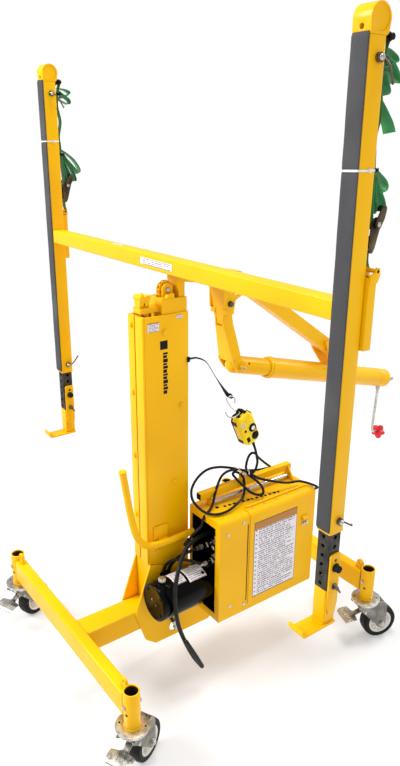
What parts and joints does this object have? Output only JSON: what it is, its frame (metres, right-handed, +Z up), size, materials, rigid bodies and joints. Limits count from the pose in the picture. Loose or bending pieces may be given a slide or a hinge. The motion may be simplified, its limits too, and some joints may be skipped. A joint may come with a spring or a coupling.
{
  "type": "electro-hydraulic panel lifter",
  "caption": "Roll-around battery-hydraulic lifter: H base on braked casters, chain mast, tilting padded frame for panels, crank jack and hand pendant.",
  "frame": {"origin": "on the floor, at the middle of the whole outline; the mast centre line is at x = -0.003 and the middle of the wheelbase at y = -0.1795", "axes": "+X across the machine towards the power unit, -Y towards the padded load side, +Z up"},
  "size_m": [1.4811, 1.531, 1.948],
  "materials": {
    "yellow_paint": "powder coat, semi gloss",
    "zinc": "zinc plated",
    "chrome": "polished",
    "dark_steel": "dull galvanised",
    "bronze": "dark bronze plating",
    "black_paint": "gloss",
    "black_rubber": "matte",
    "tyre": "satin",
    "foam": "closed-cell foam, matte",
    "webbing": "woven polyester",
    "red_plastic": "gloss",
    "white_plastic": "satin",
    "yellow_plastic": "satin"
  },
  "bodies": {
    "base": {"base_frame": "yellow_paint", "mast_outer": "yellow_paint", "lift_cylinder": "black_paint", "power_box": "yellow_paint", "box_rail": "yellow_paint", "pump_motor": "black_paint", "hoses": "black_rubber", "charger_cord": "black_rubber", "push_handle": "yellow_paint", "pendant_housing": "yellow_plastic", "pendant_hook": "zinc", "pendant_strap": "black_rubber", "pendant_cable": "black_rubber"},
    "swivel_front_right": {"caster_fork_front_right": "zinc"},
    "wheel_front_right": {"caster_wheel_front_right": "tyre"},
    "brake_front_right": {"caster_brake_front_right": "zinc"},
    "swivel_front_left": {"caster_fork_front_left": "zinc"},
    "wheel_front_left": {"caster_wheel_front_left": "tyre"},
    "brake_front_left": {"caster_brake_front_left": "zinc"},
    "swivel_rear_right": {"caster_fork_rear_right": "zinc"},
    "wheel_rear_right": {"caster_wheel_rear_right": "tyre"},
    "brake_rear_right": {"caster_brake_rear_right": "zinc"},
    "swivel_rear_left": {"caster_fork_rear_left": "zinc"},
    "wheel_rear_left": {"caster_wheel_rear_left": "tyre"},
    "brake_rear_left": {"caster_brake_rear_left": "zinc"},
    "lift": {"mast_middle": "yellow_paint", "lift_ram": "chrome", "lift_chain": "yellow_paint"},
    "sprocket": {"chain_sprocket": "yellow_paint"},
    "column": {"mast_inner": "yellow_paint", "tilt_boom": "yellow_paint", "tilt_pin": "zinc"},
    "load_frame": {"crossbar": "yellow_paint", "post_left": "yellow_paint", "post_right": "yellow_paint", "head_cap_left": "yellow_paint", "head_cap_right": "yellow_paint", "pad_left": "foam", "pad_right": "foam", "tilt_arm": "yellow_paint", "strap_left": "webbing", "strap_right": "webbing", "ratchet_frame_left": "bronze", "ratchet_frame_right": "bronze"},
    "jack_body": {"jack_tube": "yellow_paint"},
    "jack_rod": {"jack_rod": "yellow_paint"},
    "crank": {"crank_arm": "zinc"},
    "crank_knob": {"crank_knob": "red_plastic"},
    "leg_left": {"leg_left": "dark_steel"},
    "shoe_left": {"shoe_left": "yellow_paint"},
    "lock_pin_left": {"lock_pin_left": "zinc"},
    "ratchet_left": {"ratchet_handle_left": "bronze"},
    "leg_right": {"leg_right": "dark_steel"},
    "shoe_right": {"shoe_right": "yellow_paint"},
    "lock_pin_right": {"lock_pin_right": "zinc"},
    "ratchet_right": {"ratchet_handle_right": "bronze"},
    "door": {"box_door": "yellow_paint"},
    "cap": {"filler_cap": "zinc"},
    "button_up": {"button_up": "white_plastic"},
    "button_down": {"button_down": "black_rubber"}
  },
  "joints": [
    {"name": "swivel_front_right", "type": "hinge", "parent": "base", "child": "swivel_front_right", "pos_m": [0.332, -0.6645, 0.165], "axis": [0, 0, 1], "continuous": true},
    {"name": "roll_front_right", "type": "hinge", "parent": "swivel_front_right", "child": "wheel_front_right", "pos_m": [0.30567, -0.61282, 0.0635], "axis": [-0.891, -0.454, 0], "continuous": true},
    {"name": "brake_front_right", "type": "hinge", "parent": "swivel_front_right", "child": "brake_front_right", "pos_m": [0.33745, -0.67519, 0.124], "axis": [0.891, 0.454, 0], "range_deg": [0, 12]},
    {"name": "swivel_front_left", "type": "hinge", "parent": "base", "child": "swivel_front_left", "pos_m": [-0.478, -0.6645, 0.165], "axis": [0, 0, 1], "continuous": true},
    {"name": "roll_front_left", "type": "hinge", "parent": "swivel_front_left", "child": "wheel_front_left", "pos_m": [-0.49973, -0.61072, 0.0635], "axis": [-0.9272, -0.3746, 0], "continuous": true},
    {"name": "brake_front_left", "type": "hinge", "parent": "swivel_front_left", "child": "brake_front_left", "pos_m": [-0.4735, -0.67563, 0.124], "axis": [0.9272, 0.3746, 0], "range_deg": [0, 12]},
    {"name": "swivel_rear_right", "type": "hinge", "parent": "base", "child": "swivel_rear_right", "pos_m": [0.332, 0.3055, 0.165], "axis": [0, 0, 1], "continuous": true},
    {"name": "roll_rear_right", "type": "hinge", "parent": "swivel_rear_right", "child": "wheel_rear_right", "pos_m": [0.35088, 0.36034, 0.0635], "axis": [-0.9455, 0.3256, 0], "continuous": true},
    {"name": "brake_rear_right", "type": "hinge", "parent": "swivel_rear_right", "child": "brake_rear_right", "pos_m": [0.32809, 0.29415, 0.124], "axis": [0.9455, -0.3256, 0], "range_deg": [0, 12]},
    {"name": "swivel_rear_left", "type": "hinge", "parent": "base", "child": "swivel_rear_left", "pos_m": [-0.478, 0.3055, 0.165], "axis": [0, 0, 1], "continuous": true},
    {"name": "roll_rear_left", "type": "hinge", "parent": "swivel_rear_left", "child": "wheel_rear_left", "pos_m": [-0.47194, 0.36318, 0.0635], "axis": [-0.9945, 0.1045, 0], "continuous": true},
    {"name": "brake_rear_left", "type": "hinge", "parent": "swivel_rear_left", "child": "brake_rear_left", "pos_m": [-0.47925, 0.29357, 0.124], "axis": [0.9945, -0.1045, 0], "range_deg": [0, 12]},
    {"name": "lift", "type": "slide", "parent": "base", "child": "lift", "axis": [0, 0, 1], "range_m": [0, 0.8]},
    {"name": "sprocket_turn", "type": "hinge", "parent": "lift", "child": "sprocket", "pos_m": [-0.003, -0.3215, 1.306], "axis": [1, 0, 0], "continuous": true},
    {"name": "column_lift", "type": "slide", "parent": "lift", "child": "column", "axis": [0, 0, 1], "range_m": [0, 0.8]},
    {"name": "tilt", "type": "hinge", "parent": "column", "child": "load_frame", "pos_m": [-0.003, -0.1075, 1.24], "axis": [-1, 0, 0], "range_deg": [0, 30]},
    {"name": "jack_turn", "type": "hinge", "parent": "column", "child": "jack_body", "pos_m": [-0.003, 0.44069, 0.89649], "axis": [1, 0, 0], "range_deg": [-1, 4]},
    {"name": "jack_extend", "type": "slide", "parent": "jack_body", "child": "jack_rod", "axis": [0, -0.9674, 0.2534], "range_m": [-0.002, 0.115]},
    {"name": "crank_turn", "type": "hinge", "parent": "jack_body", "child": "crank", "pos_m": [-0.003, 0.68253, 0.83313], "axis": [0, 0.9674, -0.2534], "continuous": true},
    {"name": "knob_spin", "type": "hinge", "parent": "crank", "child": "crank_knob", "pos_m": [0.02878, 0.6625, 0.61857], "axis": [0, 0.9674, -0.2534], "continuous": true},
    {"name": "leg_extend_left", "type": "slide", "parent": "load_frame", "child": "leg_left", "axis": [0, 0, -1], "range_m": [-0.04, 0.3]},
    {"name": "shoe_drop_left", "type": "slide", "parent": "leg_left", "child": "shoe_left", "axis": [0, 0, -1], "range_m": [0, 0.05]},
    {"name": "pin_pull_left", "type": "slide", "parent": "load_frame", "child": "lock_pin_left", "axis": [1, 0, 0], "range_m": [0, 0.03]},
    {"name": "ratchet_lever_left", "type": "hinge", "parent": "load_frame", "child": "ratchet_left", "pos_m": [-0.7045, -0.2835, 1.556], "axis": [1, 0, 0], "range_deg": [-75, 0]},
    {"name": "leg_extend_right", "type": "slide", "parent": "load_frame", "child": "leg_right", "axis": [0, 0, -1], "range_m": [-0.04, 0.3]},
    {"name": "shoe_drop_right", "type": "slide", "parent": "leg_right", "child": "shoe_right", "axis": [0, 0, -1], "range_m": [0, 0.05]},
    {"name": "pin_pull_right", "type": "slide", "parent": "load_frame", "child": "lock_pin_right", "axis": [1, 0, 0], "range_m": [0, 0.03]},
    {"name": "ratchet_lever_right", "type": "hinge", "parent": "load_frame", "child": "ratchet_right", "pos_m": [0.6985, -0.2835, 1.556], "axis": [1, 0, 0], "range_deg": [-75, 0]},
    {"name": "door_open", "type": "hinge", "parent": "base", "child": "door", "pos_m": [0.1725, -0.0115, 0.608], "axis": [0, -1, 0], "range_deg": [0, 100]},
    {"name": "filler_cap_turn", "type": "hinge", "parent": "base", "child": "cap", "pos_m": [0.119, -0.4235, 0.424], "axis": [0, 0, 1], "continuous": true},
    {"name": "press_up", "type": "slide", "parent": "base", "child": "button_up", "axis": [-1, 0, 0], "range_m": [0, 0.003]},
    {"name": "press_down", "type": "slide", "parent": "base", "child": "button_down", "axis": [-1, 0, 0], "range_m": [0, 0.003]}
  ],
  "couplings": [
    {"joint": "column_lift", "follows": "lift", "ratio": 1},
    {"joint": "sprocket_turn", "follows": "lift", "rad_per_m": -47.619},
    {"joint": "jack_turn", "follows": "tilt", "ratio": 0.0952},
    {"joint": "jack_extend", "follows": "tilt", "m_per_rad": 0.20934}
  ]
}
